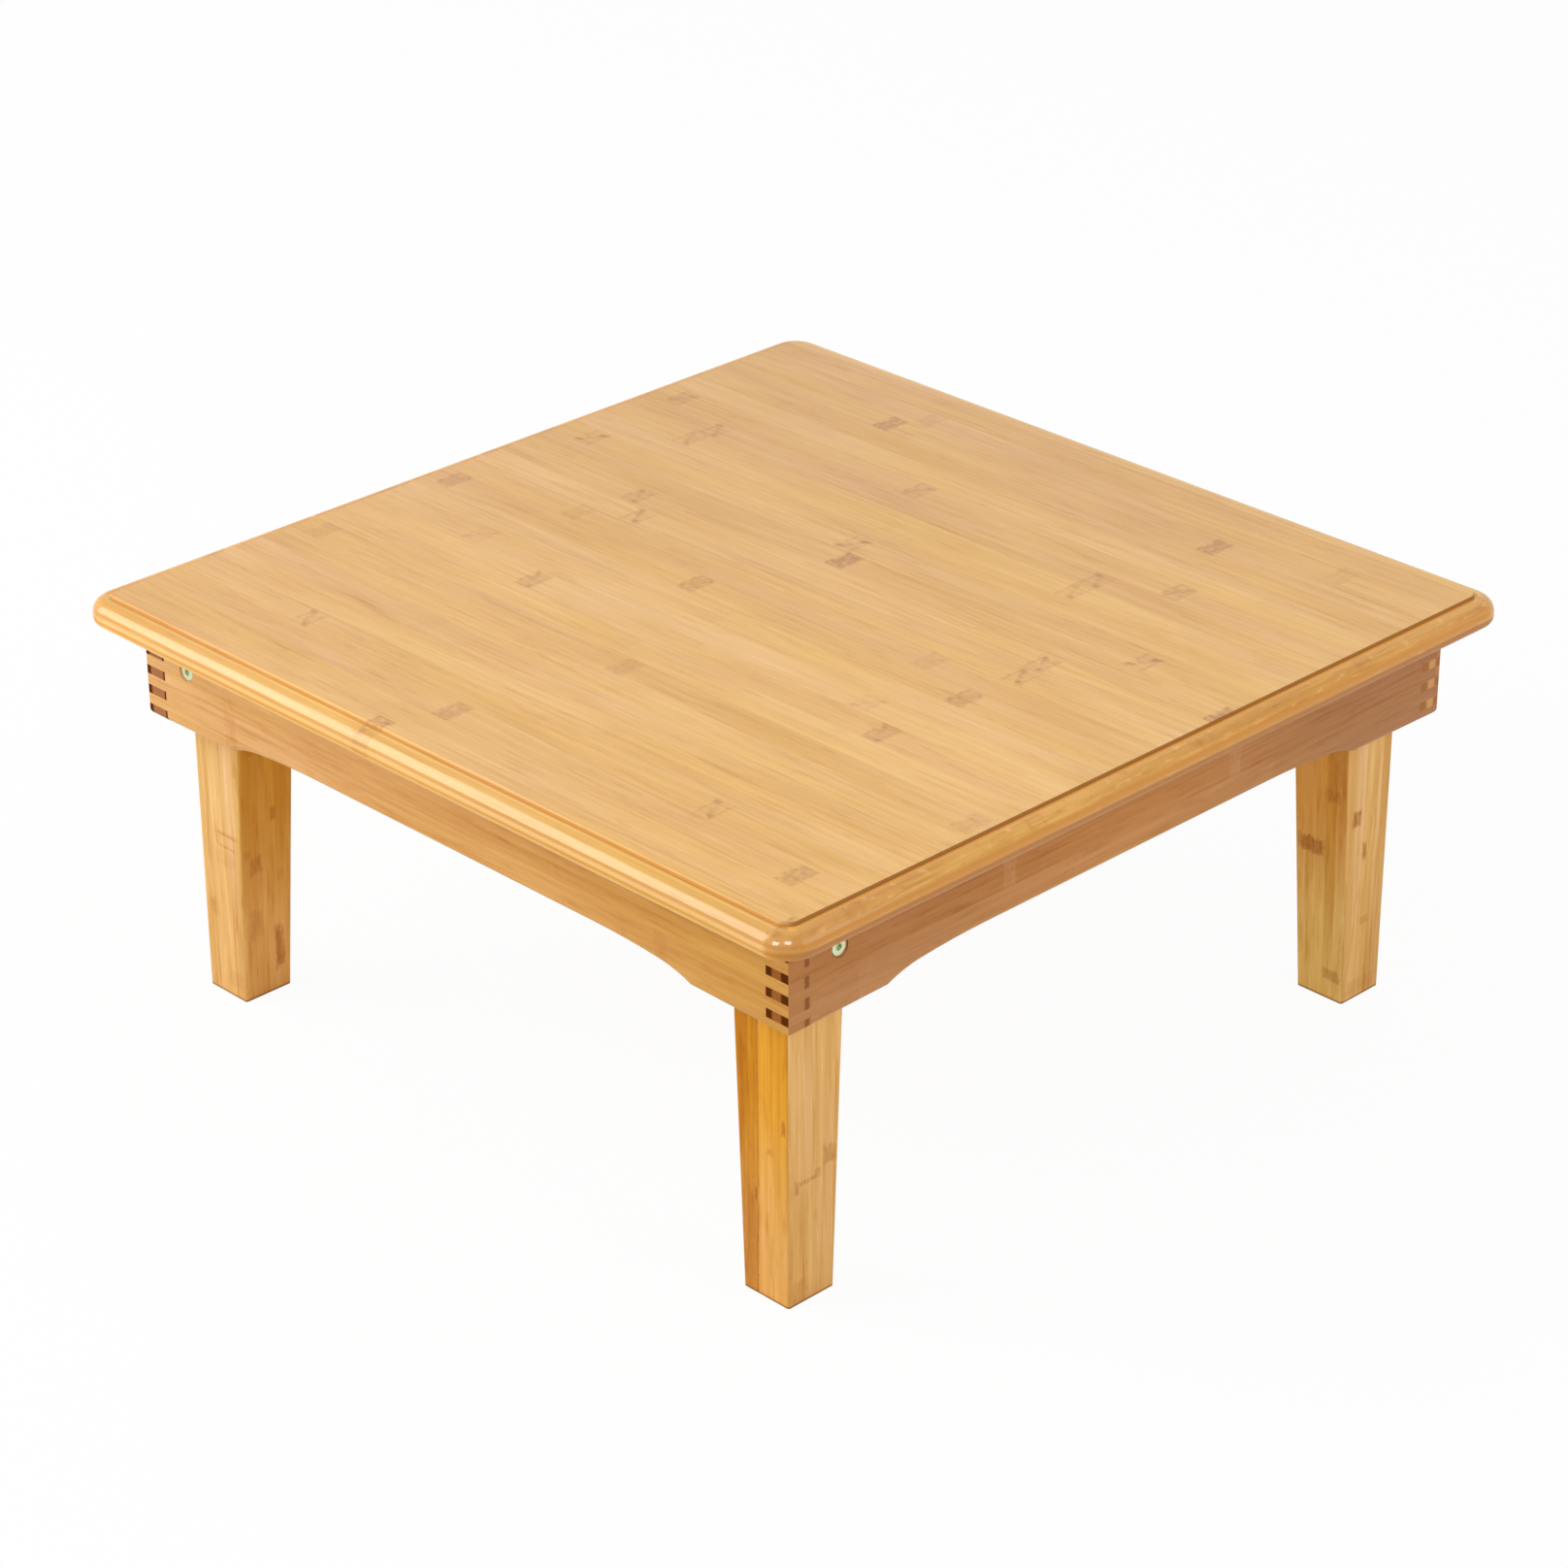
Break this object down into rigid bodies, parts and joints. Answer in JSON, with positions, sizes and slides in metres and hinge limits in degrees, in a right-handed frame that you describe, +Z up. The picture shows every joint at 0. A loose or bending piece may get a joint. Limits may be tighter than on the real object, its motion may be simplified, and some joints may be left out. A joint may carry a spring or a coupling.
{
  "type": "folding low table",
  "caption": "Low square bamboo table with a raised field on its rounded top and tapered legs that fold flat on pivot bolts along finger-jointed, arched aprons.",
  "frame": {"origin": "middle of the table at floor level", "axes": "+Z up, -Y the front apron, +X the right apron; the top's strips run along X"},
  "size_m": [0.6, 0.6, 0.266],
  "materials": {
    "bamboo": "carbonised laminated bamboo strips under clear satin lacquer",
    "zinc": "steel with pale yellow zinc plating",
    "screw": "zinc-plated wood screws",
    "plastic": "natural white nylon"
  },
  "bodies": {
    "frame": {"tabletop": "bamboo", "apron_front": "bamboo", "apron_right": "bamboo", "apron_back": "bamboo", "apron_left": "bamboo", "pivot_bolt_front": "zinc", "pivot_bolt_right": "zinc", "pivot_bolt_back": "zinc", "pivot_bolt_left": "zinc", "friction_washer_front": "plastic", "friction_washer_right": "plastic", "friction_washer_back": "plastic", "friction_washer_left": "plastic", "nut_washer_front": "zinc", "nut_washer_right": "zinc", "nut_washer_back": "zinc", "nut_washer_left": "zinc", "lock_nut_front": "zinc", "lock_nut_right": "zinc", "lock_nut_back": "zinc", "lock_nut_left": "zinc", "cleat_front": "bamboo", "cleat_right": "bamboo", "cleat_back": "bamboo", "cleat_left": "bamboo", "cleat_top_screws": "screw", "cleat_side_screws": "screw"},
    "leg_front_left": {"leg_front_left": "bamboo"},
    "leg_front_right": {"leg_front_right": "bamboo"},
    "leg_back_right": {"leg_back_right": "bamboo"},
    "leg_back_left": {"leg_back_left": "bamboo"}
  },
  "joints": [
    {"name": "fold_front_left", "type": "hinge", "parent": "frame", "child": "leg_front_left", "pos_m": [-0.2347, -0.2548, 0.2267], "axis": [0, -1, 0], "range_deg": [0, 90]},
    {"name": "fold_front_right", "type": "hinge", "parent": "frame", "child": "leg_front_right", "pos_m": [0.2548, -0.2347, 0.2267], "axis": [1, 0, 0], "range_deg": [0, 90]},
    {"name": "fold_back_right", "type": "hinge", "parent": "frame", "child": "leg_back_right", "pos_m": [0.2347, 0.2548, 0.2267], "axis": [0, 1, 0], "range_deg": [0, 90]},
    {"name": "fold_back_left", "type": "hinge", "parent": "frame", "child": "leg_back_left", "pos_m": [-0.2548, 0.2347, 0.2267], "axis": [-1, 0, 0], "range_deg": [0, 90]}
  ]
}
